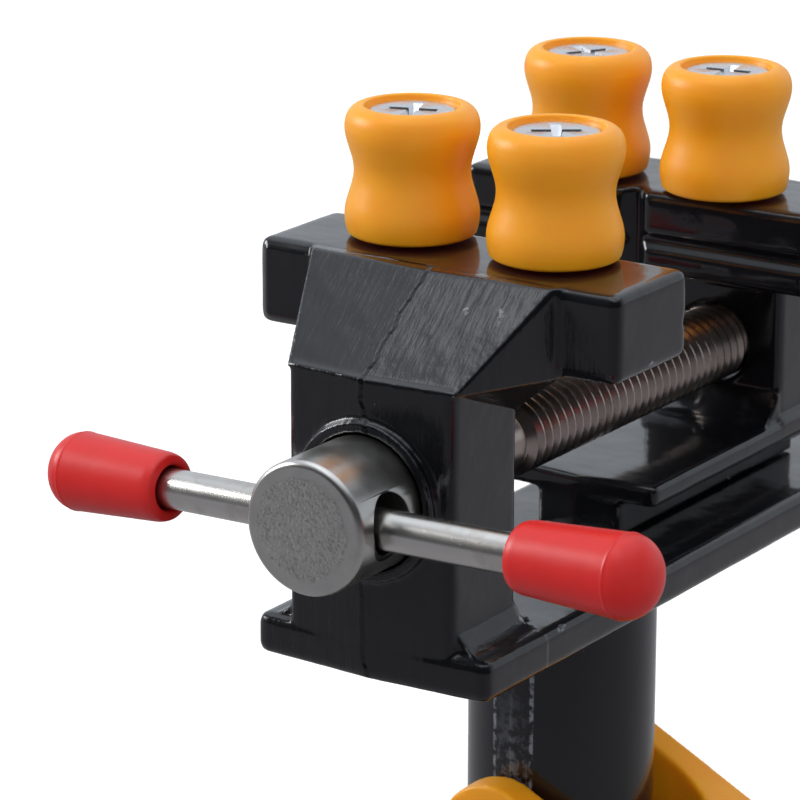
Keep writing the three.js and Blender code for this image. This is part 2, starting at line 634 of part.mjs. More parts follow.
const MIDDLE_Y = (HANDLE_FRONT_Y + BED_END_Y) / 2;
parts.position.y = -MIDDLE_Y;

export default parts;
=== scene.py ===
import json
import math

import bmesh
import bpy
import numpy as np
from mathutils import Matrix, Vector


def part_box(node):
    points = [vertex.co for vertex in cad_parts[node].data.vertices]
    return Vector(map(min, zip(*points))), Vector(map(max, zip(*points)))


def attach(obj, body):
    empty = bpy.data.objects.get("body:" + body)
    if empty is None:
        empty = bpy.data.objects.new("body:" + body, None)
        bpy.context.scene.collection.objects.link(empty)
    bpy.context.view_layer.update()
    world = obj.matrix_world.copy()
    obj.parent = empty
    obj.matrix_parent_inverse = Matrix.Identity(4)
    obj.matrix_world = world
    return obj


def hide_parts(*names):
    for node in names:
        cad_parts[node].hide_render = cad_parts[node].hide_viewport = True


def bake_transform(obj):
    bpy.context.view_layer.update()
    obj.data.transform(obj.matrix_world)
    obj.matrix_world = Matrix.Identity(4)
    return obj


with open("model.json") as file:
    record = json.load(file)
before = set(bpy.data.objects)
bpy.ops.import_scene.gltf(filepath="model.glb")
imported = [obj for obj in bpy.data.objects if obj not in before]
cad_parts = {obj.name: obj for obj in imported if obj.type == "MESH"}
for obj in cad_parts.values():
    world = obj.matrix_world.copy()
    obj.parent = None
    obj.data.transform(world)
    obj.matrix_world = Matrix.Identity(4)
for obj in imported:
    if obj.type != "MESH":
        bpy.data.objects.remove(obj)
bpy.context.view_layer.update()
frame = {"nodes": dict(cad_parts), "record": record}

MM = 0.001
RECORD = frame["record"]
BODY_OF = {node: body for body, nodes in RECORD["behaviour"]["bodies"].items() for node in nodes}
ROUND_STEPS = 128

# Radii and depths of the parts' holes and threads.
THREAD_RADIUS_MM = 5
THREAD_PITCH_MM = 1.75
THREAD_DEPTH_MM = 0.95
CROSS_HOLE_MM = 3.6
PIN_HOLE_MM = 2.8
BOLT_BORE_MM = 3.3
BOLT_BORE_TOP_DEPTH_MM = 15.8
BOLT_BORE_FOOT_DEPTH_MM = 13.2
CLEARANCE_MM = 0.3

# From a roller screw's head to the front face of its bar, and the length of the spindle's plain part.
HEAD_TO_BAR_FACE_MM = 5.2
PLAIN_SPINDLE_MM = 13

# Waves in the paint: (length, height) pairs, and how far the paint is drawn in to make room for them.
PAINT_WAVES_MM = ((9.0, 0.016), (4.3, 0.008), (2.1, 0.004))
PAINT_INSET_MM = 0.012

# Studio light. A grade is (value from, value to, result from, result to).
FLOOR_GLOW = 0.30
STUDIO_STRENGTH = 0.90
STUDIO_FRONT = (0.45, -0.87, 0.20)
MIRRORED_STUDIO = (-0.60, 0.50, 0.80, 0.03)
MIRRORED_CEILING = (0.60, 0.95, 0.0, 1.15)
MIRRORED_TINT = (0.86, 0.92, 1.0, 1)


# ------------------------------------------------------------------ places from the frame
def centre(node):
    low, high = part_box(node)
    return (low + high) / 2


def size(node):
    low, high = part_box(node)
    return high - low


def joint_axis(name):
    joint = next(joint for joint in RECORD["behaviour"]["joints"] if joint["name"] == name)
    return Vector(joint["axis"]).normalized()


POST_AXIS = centre("post")
SCREW_AXIS = centre("spindle")
HANDLE_AXIS = joint_axis("handle_slide")
HANDLE_MIDDLE = centre("tommy_bar")


# ------------------------------------------------------------------ mesh helpers
def add_object(name, mesh):
    piece = bpy.data.objects.new(name, mesh)
    bpy.context.scene.collection.objects.link(piece)
    return piece


def mesh_from(name, points, faces):
    mesh = bpy.data.meshes.new(name)
    mesh.from_pydata([tuple(p) for p in points], [], faces)
    mesh.update()
    return mesh


def bake(piece):
    """Applies the modifiers of a piece."""
    graph = bpy.context.evaluated_depsgraph_get()
    mesh = bpy.data.meshes.new_from_object(piece.evaluated_get(graph))
    piece.modifiers.clear()
    piece.data = mesh


def shade_smooth(piece):
    piece.data.polygons.foreach_set("use_smooth", [True] * len(piece.data.polygons))


def smooth(piece, angle=40):
    """Shades a piece smooth, with creases where faces meet at more than angle degrees."""
    shade_smooth(piece)
    piece.data.set_sharp_from_angle(angle=math.radians(angle))
    piece.data.update()


def boolean(piece, tool, operation):
    """Cuts or joins tool into piece and removes tool."""
    modifier = piece.modifiers.new("Boolean", "BOOLEAN")
    modifier.operation = operation
    modifier.solver = "MANIFOLD"
    modifier.object = tool
    bake(piece)
    bpy.data.objects.remove(tool)
    return piece


def stand_in(piece, node, material):
    """The piece takes the material, rides the CAD node's body and is shown instead of the node."""
    piece.data.materials.clear()
    piece.data.materials.append(material)
    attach(piece, BODY_OF[node])
    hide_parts(node)


def stand_between(piece, node, material):
    """Like stand_in, but the piece rides no body and its place is baked into its points; for a soft piece
    between the base and the post.
    """
    piece.data.materials.clear()
    piece.data.materials.append(material)
    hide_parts(node)
    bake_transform(piece)


def copy_of(node, name):
    """A free copy of a CAD node with its doubled points merged."""
    mesh = frame["nodes"][node].data.copy()
    work = bmesh.new()
    work.from_mesh(mesh)
    bmesh.ops.remove_doubles(work, verts=work.verts, dist=1e-6)
    work.to_mesh(mesh)
    work.free()
    return add_object(name, mesh)


# ------------------------------------------------------------------ turned pieces
TURN = {
    "X": Matrix(((0, 0, 1), (1, 0, 0), (0, 1, 0))),
    "Y": Matrix(((0, 1, 0), (0, 0, 1), (1, 0, 0))),
    "Z": Matrix(((1, 0, 0), (0, 1, 0), (0, 0, 1))),
}


def soften(points, radius, closed):
    """Rounds a profile: small arcs at its corners, and long smooth curves where it bends gently."""
    count = len(points)
    out = []
    for i, point in enumerate(points):
        here = Vector(point)
        if not closed and i in (0, count - 1):
            out.append(tuple(here))
            continue
        before = Vector(points[i - 1])
        after = Vector(points[(i + 1) % count])
        back, ahead = before - here, after - here
        bend = math.pi - back.angle(ahead, math.pi)
        if bend < math.radians(2):
            continue
        reach = min(back.length, ahead.length) * 0.5
        if bend > math.radians(42):
            reach = min(reach * 0.9, radius)
        start = here + back.normalized() * reach
        end = here + ahead.normalized() * reach
        steps = 5
        for k in range(steps + 1):
            t = k / steps
            out.append(tuple(start * (1 - t) ** 2 + here * 2 * t * (1 - t) + end * t ** 2))
    return out


def revolve(name, profile, axis, middle, closed=False, steps=ROUND_STEPS):
    """Turns (radius, height) points in metres about an axis through middle."""
    turn = TURN[axis]
    origin = Vector(middle)
    points, rings = [], []
    for radius, height in profile:
        if radius < 1e-7:
            rings.append([len(points)])
            points.append(turn @ Vector((0, 0, height)) + origin)
            continue
        ring = []
        for k in range(steps):
            angle = 2 * math.pi * k / steps
            spot = Vector((radius * math.cos(angle), radius * math.sin(angle), height))
            ring.append(len(points))
            points.append(turn @ spot + origin)
        rings.append(ring)
    faces = []
    pairs = list(zip(rings, rings[1:]))
    if closed:
        pairs.append((rings[-1], rings[0]))
    for low, high in pairs:
        for k in range(steps):
            n = (k + 1) % steps
            if len(low) == 1 and len(high) == 1:
                continue
            if len(low) == 1:
                faces.append((low[0], high[n], high[k]))
            elif len(high) == 1:
                faces.append((low[k], low[n], high[0]))
            else:
                faces.append((low[k], low[n], high[n], high[k]))
    piece = add_object(name, mesh_from(name, points, faces))
    face_out(piece)
    return piece


def face_out(piece):
    work = bmesh.new()
    work.from_mesh(piece.data)
    bmesh.ops.remove_doubles(work, verts=work.verts, dist=1e-7)
    bmesh.ops.recalc_face_normals(work, faces=work.faces)
    work.to_mesh(piece.data)
    work.free()


def chain(places, edges, wanted, on_axis):
    """Points of one spoke in order along its edges, and the loose ends they have."""
    links = {}
    for a, b in edges:
        if a != b and a in wanted and b in wanted and not (a in on_axis and b in on_axis):
            links.setdefault(a, set()).add(b)
            links.setdefault(b, set()).add(a)
    if not links:
        return [], []
    ends = sorted(i for i in links if len(links[i]) == 1)
    path = [min(ends or links, key=lambda i: places[i].z)]
    while True:
        onward = [i for i in sorted(links[path[-1]]) if i not in path]
        if not onward:
            return path, ends
        path.append(onward[0])


def run_length(places, path):
    return sum((places[a] - places[b]).length for a, b in zip(path, path[1:]))


def meridian(node, axis):
    """The (radius, height) outline of a turned CAD node, read from one of its meridians."""
    turn = TURN[axis]
    back = turn.transposed()
    middle = centre(node)
    mesh = frame["nodes"][node].data
    keys, index = {}, []
    flat = []
    for vertex in mesh.vertices:
        local = back @ (vertex.co - middle)
        key = tuple(round(c / 2e-6) for c in local)
        if key not in keys:
            keys[key] = len(flat)
            flat.append(local)
        index.append(keys[key])
    spokes = {}
    for i, point in enumerate(flat):
        if math.hypot(point.x, point.y) > 1e-5:
            spoke = round(math.degrees(math.atan2(point.y, point.x)))
            spokes.setdefault(spoke, set()).add(i)
    on_axis = {i for i, point in enumerate(flat) if math.hypot(point.x, point.y) <= 1e-5}
    edges = [(index[edge.vertices[0]], index[edge.vertices[1]]) for edge in mesh.edges]
    path, ends = [], []
    for spoke in sorted(spokes):
        found, found_ends = chain(flat, edges, spokes[spoke] | on_axis, on_axis)
        if run_length(flat, found) > run_length(flat, path) + 1e-6:
            path, ends = found, found_ends
    profile = [(math.hypot(flat[i].x, flat[i].y), flat[i].z) for i in path]
    profile = [(0.0 if radius < 1e-5 else radius, height) for radius, height in profile]
    return profile, middle, not ends


def turned(node, axis, material, edge_mm=0.25, steps=ROUND_STEPS):
    """A fine round version of a turned CAD node, with rounded edges."""
    profile, middle, closed = meridian(node, axis)
    piece = revolve(f"{node}_fine", soften(profile, edge_mm * MM, closed), axis, middle, closed, steps)
    smooth(piece)
    stand_in(piece, node, material)


def rod(name, radius, start, end, steps=64):
    """A plain round cutter between two points."""
    start, end = Vector(start), Vector(end)
    along = (end - start).normalized()
    side = along.orthogonal().normalized()
    other = along.cross(side)
    points, faces = [], []
    for place in (start, end):
        for k in range(steps):
            angle = 2 * math.pi * k / steps
            points.append(place + radius * (side * math.cos(angle) + other * math.sin(angle)))
    faces.append(tuple(reversed(range(steps))))
    faces.append(tuple(range(steps, 2 * steps)))
    for k in range(steps):
        n = (k + 1) % steps
        faces.append((k, n, steps + n, steps + k))
    piece = add_object(name, mesh_from(name, points, faces))
    face_out(piece)
    return piece


# ------------------------------------------------------------------ cast and moulded skins
def remeshed(node, name, voxel_mm, passes):
    """A copy of a CAD node with a voxel remesh and smoothing on it, still as modifiers."""
    piece = copy_of(node, name)
    remesh = piece.modifiers.new("Remesh", "REMESH")
    remesh.mode = "VOXEL"
    remesh.voxel_size = voxel_mm * MM
    relax = piece.modifiers.new("Smooth", "SMOOTH")
    relax.factor = 0.5
    relax.iterations = passes
    return piece


def skin(node, material, voxel_mm, passes, keep, shape=None):
    """A rounded skin over a CAD node: remeshed finely, smoothed, shaped and thinned out to a share."""
    piece = remeshed(node, f"{node}_skin", voxel_mm, passes)
    bake(piece)
    if shape:
        shape(piece)
    thin = piece.modifiers.new("Decimate", "DECIMATE")
    thin.ratio = keep
    bake(piece)
    shade_smooth(piece)
    stand_in(piece, node, material)


def ripple(piece):
    """Uneven thickness of the paint: shallow waves that make the edge highlights wander."""
    mesh = piece.data
    count = len(mesh.vertices)
    places, normals = np.empty(count * 3, "f"), np.empty(count * 3, "f")
    mesh.vertices.foreach_get("co", places)
    mesh.vertex_normals.foreach_get("vector", normals)
    points = places.reshape(count, 3) / MM
    waves = np.zeros(count)
    for length_mm, height_mm in PAINT_WAVES_MM:
        for k in range(3):
            angle = 2.4 * k + length_mm
            tilt = 0.9 * k - 0.8
            level = math.cos(tilt)
            way = np.array([math.cos(angle) * level, math.sin(angle) * level, math.sin(tilt)])
            bend = np.sin(points @ np.roll(way, 1) * 2 * math.pi / (length_mm * 2.7) + k)
            waves += height_mm * np.sin(points @ way * 2 * math.pi / length_mm + 1.7 * bend) / 1.7
    offsets = normals.reshape(count, 3) * ((waves - PAINT_INSET_MM) * MM)[:, None]
    moved = places.reshape(count, 3) + offsets
    mesh.vertices.foreach_set("co", moved.astype("f").ravel())
    mesh.update()


# ------------------------------------------------------------------ material building blocks
def graded(tree, value, grade):
    """Maps a value smoothly from the first two numbers of a grade to the last two."""
    ranged = tree.nodes.new("ShaderNodeMapRange")
    ranged.interpolation_type = "SMOOTHSTEP"
    tree.links.new(value, ranged.inputs["Value"])
    for setting, number in zip(("From Min", "From Max", "To Min", "To Max"), grade):
        ranged.inputs[setting].default_value = number
    return ranged.outputs["Result"]


class Shader:
    """A node material with a principled shader; lengths in its calls are millimetres."""

    def __init__(self, name):
        self.material = bpy.data.materials.new(name)
        self.material.use_nodes = True
        self.tree = self.material.node_tree
        self.tree.nodes.clear()
        self.output = self.node("ShaderNodeOutputMaterial")
        self.surface = self.node("ShaderNodeBsdfPrincipled")
        self.tree.links.new(self.surface.outputs[0], self.output.inputs["Surface"])
        self.place = self.node("ShaderNodeTexCoord").outputs["Object"]

    def node(self, kind, **settings):
        made = self.tree.nodes.new(kind)
        for key, value in settings.items():
            setattr(made, key, value)
        return made

    def plug(self, socket, value):
        if isinstance(value, bpy.types.NodeSocket):
            self.tree.links.new(value, socket)
        else:
            socket.default_value = value

    def set(self, **inputs):
        for key, value in inputs.items():
            self.plug(self.surface.inputs[key.replace("_", " ")], value)

    def stretched(self, scale):
        mapping = self.node("ShaderNodeMapping")
        self.plug(mapping.inputs["Vector"], self.place)
        mapping.inputs["Scale"].default_value = scale
        return mapping.outputs[0]

    def noise(self, feature_mm, detail=3.0, roughness=0.5, place=None):
        texture = self.node("ShaderNodeTexNoise")
        self.plug(texture.inputs["Vector"], place or self.place)
        texture.inputs["Scale"].default_value = 1000.0 / feature_mm
        texture.inputs["Detail"].default_value = detail
        texture.inputs["Roughness"].default_value = roughness
        return texture.outputs["Fac"]

    def cells(self, feature_mm, place=None):
        texture = self.node("ShaderNodeTexVoronoi")
        self.plug(texture.inputs["Vector"], place or self.place)
        texture.inputs["Scale"].default_value = 1000.0 / feature_mm
        return texture.outputs["Distance"]

    def ramp(self, value, low, high, invert=False):
        """Maps low..high to 0..1, or 1..0, smoothly."""
        results = (1.0, 0.0) if invert else (0.0, 1.0)
        return graded(self.tree, value, (low, high, *results))

    def blend(self, share, first, second):
        mixed = self.node("ShaderNodeMix", data_type="RGBA")
        self.plug(mixed.inputs["Factor"], share)
        self.plug(mixed.inputs["A"], first)
        self.plug(mixed.inputs["B"], second)
        return mixed.outputs["Result"]

    def between(self, share, first, second):
        mixed = self.node("ShaderNodeMix", data_type="FLOAT")
        self.plug(mixed.inputs["Factor"], share)
        self.plug(mixed.inputs["A"], first)
        self.plug(mixed.inputs["B"], second)
        return mixed.outputs["Result"]

    def math(self, operation, first, second=0.0):
        made = self.node("ShaderNodeMath", operation=operation)
        self.plug(made.inputs[0], first)
        self.plug(made.inputs[1], second)
        return made.outputs[0]

    def times(self, first, second):
        return self.math("MULTIPLY", first, second)

    def reach(self, first, second):
        """Length of a two-dimensional offset."""
        squares = self.math("ADD", self.times(first, first), self.times(second, second))
        return self.math("SQRT", squares)

    def axis(self, letter):
        split = self.node("ShaderNodeSeparateXYZ")
        self.plug(split.inputs[0], self.place)
        return split.outputs[letter]

    def bumps(self, *layers):
        """Stacks (height, depth in mm) layers into one normal."""
        normal = None
        for height, depth_mm in layers:
            made = self.node("ShaderNodeBump")
            self.plug(made.inputs["Height"], height)
            made.inputs["Distance"].default_value = depth_mm * MM
            if normal is not None:
                self.plug(made.inputs["Normal"], normal)
            normal = made.outputs[0]
        return normal

    def wear_and_highlight(self, low, high):
        """Where the surface is convex, such as along an edge."""
        shape = self.node("ShaderNodeNewGeometry")
        return self.ramp(shape.outputs["Pointiness"], low, high)


def colour(red, green, blue):
    return (red, green, blue, 1.0)


# ------------------------------------------------------------------ materials
def black_enamel(name, seam_front_y=None):
    """Thick black gloss enamel. It follows the grain of the casting under it, and in front of
    seam_front_y also its drawn streaks and the crooked parting seam down its middle."""
    shader = Shader(name)
    sag = shader.noise(9, detail=2)
    grain = shader.noise(1.1, detail=4, roughness=0.6)
    fine = shader.noise(0.28, detail=2)
    specks = shader.ramp(shader.cells(1.6), 0.03, 0.055, invert=True)
    rare = shader.ramp(shader.noise(4.0, detail=1), 0.62, 0.66)
    dust = shader.times(specks, rare)
    # Painted highlight, partly worn paint: along convex edges, in dashes set by the grain, the black is
    # lightened.
    edge = shader.times(shader.wear_and_highlight(0.53, 0.60), shader.ramp(grain, 0.42, 0.6))
    tone = shader.blend(shader.noise(6), colour(0.0022, 0.0024, 0.0038), colour(0.0040, 0.0044, 0.0065))
    # Painted highlight and wear: the blue-grey stands for the glint along the edges.
    tone = shader.blend(shader.times(edge, 0.75), tone, colour(0.26, 0.28, 0.32))
    tone = shader.blend(shader.times(dust, 0.5), tone, colour(0.30, 0.30, 0.30))
    layers = [(sag, 0.06), (grain, 0.012), (fine, 0.002)]
    gloss = shader.between(grain, 0.05, 0.13)
    if seam_front_y is not None:
        in_front = shader.ramp(shader.axis("Y"), seam_front_y - 0.6 * MM, seam_front_y, invert=True)
        drawn = shader.noise(0.8, detail=4, roughness=0.6, place=shader.stretched((1.0, 0.16, 0.16)))
        layers.insert(1, (shader.times(drawn, in_front), 0.085))
        bend = shader.noise(6.5, detail=3, place=shader.stretched((0.0, 1.0, 1.0)))
        shift = shader.times(shader.math("SUBTRACT", bend, 0.5), 3.6 * MM)
        across = shader.math("ADD", shader.axis("X"), shift)
        step = shader.ramp(across, -0.45 * MM, 0.45 * MM, invert=True)
        layers.insert(1, (shader.times(step, in_front), 0.38))
        gloss = shader.between(in_front, gloss, shader.between(grain, 0.10, 0.17))
    normal = shader.bumps(*layers)
    shader.set(Base_Color=tone, Roughness=shader.between(grain, 0.35, 0.55), IOR=1.45)
    shader.set(Specular_IOR_Level=0.1)
    shader.set(Coat_Weight=1.0, Coat_Roughness=gloss, Coat_IOR=1.5)
    shader.set(Normal=normal, Coat_Normal=normal)
    return shader.material


def orange_nylon():
    """Satin nylon that lets light in a little way and glows deeper where it is thin or shaded."""
    shader = Shader("orange_nylon")
    cloud = shader.noise(5, detail=2)
    matt = shader.noise(0.35, detail=3)
    tone = shader.blend(cloud, colour(0.97, 0.345, 0.006), colour(1.0, 0.43, 0.012))
    scuff = shader.ramp(shader.noise(1.6, detail=6, roughness=0.75), 0.66, 0.74)
    tone = shader.blend(shader.times(scuff, 0.25), tone, colour(0.98, 0.62, 0.16))
    shader.set(Base_Color=tone, Roughness=shader.between(matt, 0.34, 0.46), IOR=1.5)
    shader.set(Subsurface_Weight=0.60, Subsurface_Scale=0.0026, Subsurface_Radius=(1.0, 0.36, 0.05))
    shader.set(Normal=shader.bumps((cloud, 0.05), (matt, 0.004)))
    return shader.material


def red_plastic():
    """Soft red plastic, semi-gloss, with a few scuffs."""
    shader = Shader("red_plastic")
    cloud = shader.noise(4, detail=2)
    matt = shader.noise(0.3, detail=3)
    scuff = shader.ramp(shader.noise(1.2, detail=6, roughness=0.8), 0.66, 0.76)
    tone = shader.blend(cloud, colour(0.60, 0.008, 0.008), colour(0.72, 0.016, 0.014))
    tone = shader.blend(shader.times(scuff, 0.3), tone, colour(0.85, 0.16, 0.13))
    shader.set(Base_Color=tone, Roughness=shader.between(matt, 0.30, 0.44), IOR=1.5)
    shader.set(Subsurface_Weight=0.18, Subsurface_Scale=0.001, Subsurface_Radius=(1.0, 0.12, 0.08))
    shader.set(Normal=shader.bumps((cloud, 0.05), (matt, 0.005)))
    return shader.material


def turned_metal(name, low, high, roughness, axis, tarnish):
    """Plated steel with turning lines round its axis and a little staining."""
    shader = Shader(name)
    scale = {"X": (1.0, 0.02, 0.02), "Y": (0.02, 1.0, 0.02), "Z": (0.02, 0.02, 1.0)}[axis]
    lines = shader.noise(0.16, detail=3, place=shader.stretched(scale))
    cloud = shader.noise(3.0, detail=4)
    pits = shader.ramp(shader.cells(0.5), 0.05, 0.16, invert=True)
    few = shader.times(pits, shader.ramp(shader.noise(2.0), 0.55, 0.62))
    stain = shader.times(shader.ramp(cloud, 0.5, 0.72), tarnish)
    tone = shader.blend(shader.noise(5), colour(*low), colour(*high))
    tone = shader.blend(stain, tone, colour(0.30, 0.24, 0.19))
    shader.set(Base_Color=tone, Metallic=1.0)
    shader.set(Roughness=shader.between(cloud, roughness * 0.75, roughness * 1.35))
    shader.set(Normal=shader.bumps((cloud, 0.012), (lines, 0.004), (few, 0.01)))
    return shader.material


def pitted_steel(face_y, radius):
    """Satin nickel for the spindle. Its front has a coarse as-forged centre inside a smooth rim, and
    the bore of the cross hole is painted near black as shade."""
    shader = Shader("nickel_head")
    x, y, z = (shader.axis(letter) for letter in "XYZ")
    across = shader.math("SUBTRACT", x, SCREW_AXIS.x)
    upward = shader.math("SUBTRACT", z, SCREW_AXIS.z)
    wobble = shader.times(shader.math("SUBTRACT", shader.noise(3.5, detail=3), 0.5), 1.6 * MM)
    ragged = shader.math("ADD", shader.reach(across, upward), wobble)
    centre_area = shader.ramp(ragged, radius * 0.72, radius * 0.80, invert=True)
    front = shader.ramp(y, face_y + 0.15 * MM, face_y + 0.4 * MM, invert=True)
    rough_area = shader.times(centre_area, front)
    crinkle = shader.noise(0.45, detail=4, roughness=0.66)
    veins = shader.cells(0.42)
    texture = shader.times(shader.math("ADD", crinkle, veins), rough_area)
    step = shader.times(rough_area, -1.0)
    lines = shader.noise(0.2, detail=2, place=shader.stretched((0.02, 1.0, 0.02)))
    cloud = shader.noise(2.4, detail=4)
    tone = shader.blend(cloud, colour(0.46, 0.45, 0.43), colour(0.64, 0.63, 0.60))
    valley = shader.times(shader.ramp(crinkle, 0.36, 0.52, invert=True), rough_area)
    tone = shader.blend(shader.times(valley, 0.45), tone, colour(0.24, 0.23, 0.22))
    behind = shader.math("SUBTRACT", y, HANDLE_MIDDLE.y)
    above = shader.math("SUBTRACT", z, HANDLE_MIDDLE.z)
    near_hole = shader.ramp(shader.reach(behind, above), 3.45 * MM, 3.65 * MM, invert=True)
    inside = shader.times(near_hole, shader.math("SUBTRACT", 1.0, front))
    # Painted shade: the cross hole's bore is darkened to near black.
    tone = shader.blend(shader.times(inside, 0.92), tone, colour(0.03, 0.027, 0.025))
    shader.set(Base_Color=tone, Metallic=1.0)
    shader.set(Roughness=shader.between(rough_area, shader.between(cloud, 0.24, 0.36), 0.42))
    shader.set(Normal=shader.bumps((step, 0.05), (texture, 0.07), (lines, 0.003), (cloud, 0.02)))
    return shader.material


def moulded_plastic(name, low, high, roughness):
    """Spark-textured moulded plastic."""
    shader = Shader(name)
    grain = shader.noise(0.45, detail=4, roughness=0.6)
    cloud = shader.noise(7, detail=2)
    shader.set(Base_Color=shader.blend(cloud, colour(*low), colour(*high)))
    shader.set(Roughness=shader.between(grain, roughness * 0.85, roughness * 1.2), IOR=1.5)
    shader.set(Normal=shader.bumps((cloud, 0.04), (grain, 0.02)))
    return shader.material


def floor_material():
    """Pale studio floor. Seen directly it is near white; what reflects in the vise is darker in front."""
    shader = Shader("studio_floor")
    depth = shader.ramp(shader.axis("Y"), -0.25, 0.15)
    mirrored = shader.blend(depth, colour(0.22, 0.22, 0.24), colour(0.38, 0.38, 0.40))
    seen = shader.blend(shader.noise(60), colour(0.86, 0.86, 0.86), colour(0.89, 0.89, 0.89))
    direct = shader.node("ShaderNodeLightPath").outputs["Is Camera Ray"]
    shader.set(Base_Color=shader.blend(direct, mirrored, seen), Roughness=0.6)
    shader.set(Specular_IOR_Level=0.0, Emission_Color=colour(1, 1, 1))
    shader.set(Emission_Strength=shader.times(direct, FLOOR_GLOW))
    return shader.material


HEAD_FRONT_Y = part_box("spindle")[0].y
HEAD_RADIUS = size("spindle").x / 2
FRONT_BAR_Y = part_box("roller_screw_front_left")[0].y - HEAD_TO_BAR_FACE_MM * MM
ENAMEL_CAST = black_enamel("black_enamel_cast", FRONT_BAR_Y)
ENAMEL = black_enamel("black_enamel")
ORANGE = orange_nylon()
RED = red_plastic()
NICKEL_HEAD = pitted_steel(HEAD_FRONT_Y, HEAD_RADIUS)
NICKEL_BAR = turned_metal("nickel_bar", (0.58, 0.56, 0.53), (0.70, 0.68, 0.65), 0.24, "X", 0.25)
NICKEL_THREAD = turned_metal("nickel_thread", (0.34, 0.28, 0.25), (0.50, 0.43, 0.39), 0.25, "Y", 0.8)
ZINC = turned_metal("zinc_plate", (0.66, 0.68, 0.71), (0.76, 0.78, 0.81), 0.26, "Z", 0.1)
BLACK_PLASTIC = moulded_plastic("black_plastic", (0.012, 0.012, 0.013), (0.020, 0.020, 0.022), 0.42)
WHITE_NYLON = moulded_plastic("white_nylon", (0.62, 0.60, 0.54), (0.70, 0.68, 0.62), 0.45)
RUBBER = moulded_plastic("black_rubber", (0.010, 0.010, 0.010), (0.018, 0.018, 0.018), 0.75)


# ------------------------------------------------------------------ castings
def build_castings():
    skin("fixed_jaw_and_bed", ENAMEL_CAST, 0.30, 4, keep=0.45, shape=ripple)
    skin("moving_jaw", ENAMEL, 0.34, 5, keep=0.45, shape=ripple)


# ------------------------------------------------------------------ rollers and their screws
def roller_profile(radius, height):
    """Outline of a waisted roller: fat ends, a smooth waist, a countersunk top and a plain bore."""
    waist = radius * 0.863
    band = 2.5 * MM
    bore = 2.3 * MM
    outline = [(bore, 0), (radius - 1.0 * MM, 0), (radius - 0.35 * MM, 0.35 * MM)]
    outline.append((radius - 0.08 * MM, 1.4 * MM))
    steps = 28
    for k in range(steps + 1):
        t = k / steps
        swell = (1 + math.cos(2 * math.pi * t)) / 2
        outline.append((waist + (radius - waist) * swell, band + (height - 2 * band) * t))
    outline += [(radius - 0.12 * MM, height - 1.5 * MM), (radius - 0.55 * MM, height - 0.65 * MM)]
    outline += [(radius - 1.25 * MM, height - 0.14 * MM), (radius - 1.8 * MM, height)]
    outline += [(5.75 * MM, height), (5.6 * MM, height - 0.7 * MM), (bore, height - 4.1 * MM)]
    return outline


def build_roller(node):
    low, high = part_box(node)
    radius, height = (high.x - low.x) / 2, high.z - low.z
    outline = soften(roller_profile(radius, height), 0.22 * MM, True)
    base = Vector((centre(node).x, centre(node).y, low.z))
    piece = revolve(f"{node}_fine", outline, "Z", base, closed=True)
    smooth(piece)
    stand_in(piece, node, ORANGE)


def cross_cutter(name, top, turn_deg):
    """Tapered four-wing cutter for a cross recess."""
    wide, narrow, deep = 3.0 * MM, 1.2 * MM, 2.4 * MM
    half_top, half_foot = 0.62 * MM, 0.40 * MM
    above = 0.5 * MM
    levels = ((wide, half_top, -above), (wide, half_top, 0), (narrow, half_foot, deep))
    cutter = None
    for quarter in (0, 90):
        spin = Matrix.Rotation(math.radians(turn_deg + quarter), 3, "Z")
        corners = []
        for reach, half, drop in levels:
            for x, y in ((-reach, -half), (reach, -half), (reach, half), (-reach, half)):
                corners.append(top + spin @ Vector((x, y, -drop)))
        faces = [(0, 3, 2, 1), (8, 9, 10, 11)]
        for ring in (0, 4):
            for k in range(4):
                n = (k + 1) % 4
                faces.append((ring + k, ring + n, ring + 4 + n, ring + 4 + k))
        wing = add_object(f"{name}_{quarter}", mesh_from(name, corners, faces))
        face_out(wing)
        cutter = wing if cutter is None else boolean(cutter, wing, "UNION")
    return cutter


def build_roller_screw(node, turn_deg):
    low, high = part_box(node)
    head = (high.x - low.x) / 2
    shank = 2.0 * MM
    length = high.z - low.z
    outline = [(0, 0), (shank - 0.4 * MM, 0), (shank, 0.5 * MM), (shank, length - 3.35 * MM)]
    outline += [(head, length - 0.28 * MM), (head - 0.12 * MM, length - 0.04 * MM), (head - 0.5 * MM, length)]
    outline += [(0, length)]
    base = Vector((centre(node).x, centre(node).y, low.z))
    piece = revolve(f"{node}_fine", soften(outline, 0.12 * MM, False), "Z", base)
    top = Vector((base.x, base.y, high.z))
    boolean(piece, cross_cutter(f"{node}_recess", top, turn_deg), "DIFFERENCE")
    soft_edges(piece, 0.07)
    stand_in(piece, node, ZINC)


def soft_edges(piece, width_mm):
    """Small bevels on the sharp edges that a boolean leaves."""
    bevel = piece.modifiers.new("Bevel", "BEVEL")
    bevel.width = width_mm * MM
    bevel.segments = 2
    bevel.limit_method = "ANGLE"
    bevel.angle_limit = math.radians(38)
    bake(piece)
    smooth(piece, 35)


